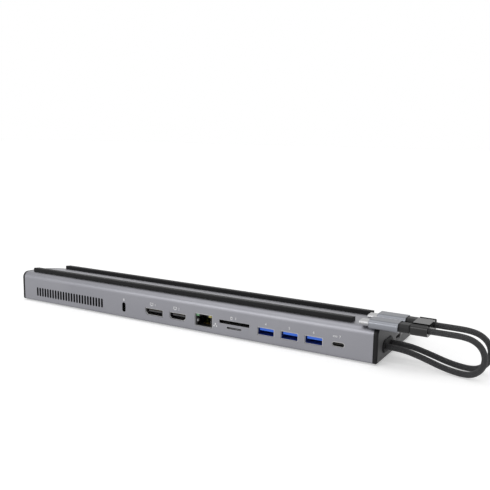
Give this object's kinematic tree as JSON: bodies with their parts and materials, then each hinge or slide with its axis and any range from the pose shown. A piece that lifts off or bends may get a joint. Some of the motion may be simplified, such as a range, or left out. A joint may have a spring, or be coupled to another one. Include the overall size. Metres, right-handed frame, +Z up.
{
  "type": "laptop docking station",
  "caption": "Long wedge-section aluminium docking station that lifts a laptop's rear edge, with connectors along its tall face and two short braided cables joined by a sliding clip.",
  "frame": {"origin": "on the table, under the middle of the body's footprint, cables left out", "axes": "+X along the body towards the cable end, -Y out of the tall port face, +Z up"},
  "size_m": [0.3872, 0.0815, 0.0318],
  "materials": {
    "anodised_aluminium": "satin, fine bead blast",
    "bare_aluminium": "satin",
    "black_plastic": "matte",
    "black_rubber": "matte",
    "blue_plastic": "satin",
    "braided_sleeve": "fine woven sleeve",
    "bright_steel": "plated, bright",
    "circuit_board": "solder mask",
    "clear_plastic": "clear, polished",
    "component_black": "matte",
    "dark_plastic": "fine spark texture"
  },
  "bodies": {
    "dock": {"board_capacitors": "component_black", "board_inductors": "component_black", "board_nuts": "bright_steel", "board_screws": "bright_steel", "bottom_cover": "anodised_aluminium", "cable_clamp": "black_plastic", "cable_far": "braided_sleeve", "cable_grommet": "black_rubber", "cable_headers": "black_plastic", "cable_near": "braided_sleeve", "cable_tails": "black_plastic", "clamp_screws": "bright_steel", "cover_screws": "bright_steel", "display_chip": "component_black", "displayport_insert": "black_plastic", "displayport_shell": "bright_steel", "end_plate_screws": "bright_steel", "far_plug_collar": "dark_plastic", "far_plug_housing": "anodised_aluminium", "far_plug_tip": "bright_steel", "front_foot_strip": "black_rubber", "hdmi_insert": "black_plastic", "hdmi_shell": "bright_steel", "heat_spreader": "bare_aluminium", "left_end_cap": "dark_plastic", "left_end_plate": "bright_steel", "lock_plate": "bright_steel", "main_board": "circuit_board", "main_controller_chip": "component_black", "microsd_reader": "bright_steel", "near_plug_collar": "dark_plastic", "near_plug_housing": "anodised_aluminium", "near_plug_tip": "bright_steel", "network_chip": "component_black", "power_chip": "component_black", "rear_foot_strip": "black_rubber", "right_end_cap": "dark_plastic", "right_end_plate": "bright_steel", "rj45_body": "black_plastic", "rj45_light_guides": "clear_plastic", "rj45_shield": "bright_steel", "sd_reader": "bright_steel", "shell": "anodised_aluminium", "thermal_pads": "black_rubber", "top_rail_front": "black_rubber", "top_rail_rear": "black_rubber", "usb_a_insert_1": "blue_plastic", "usb_a_insert_2": "blue_plastic", "usb_a_insert_3": "blue_plastic", "usb_a_shell_1": "bright_steel", "usb_a_shell_2": "bright_steel", "usb_a_shell_3": "bright_steel", "usb_c_power_insert": "black_plastic", "usb_c_power_shell": "bright_steel", "usb_c_side_insert": "black_plastic", "usb_c_side_shell": "bright_steel", "vent_mesh": "bright_steel"},
    "clip": {"plug_clip": "dark_plastic"}
  },
  "joints": [
    {"name": "clip_slide", "type": "slide", "parent": "dock", "child": "clip", "axis": [1, 0, 0], "range_m": [0, 0.008]}
  ]
}
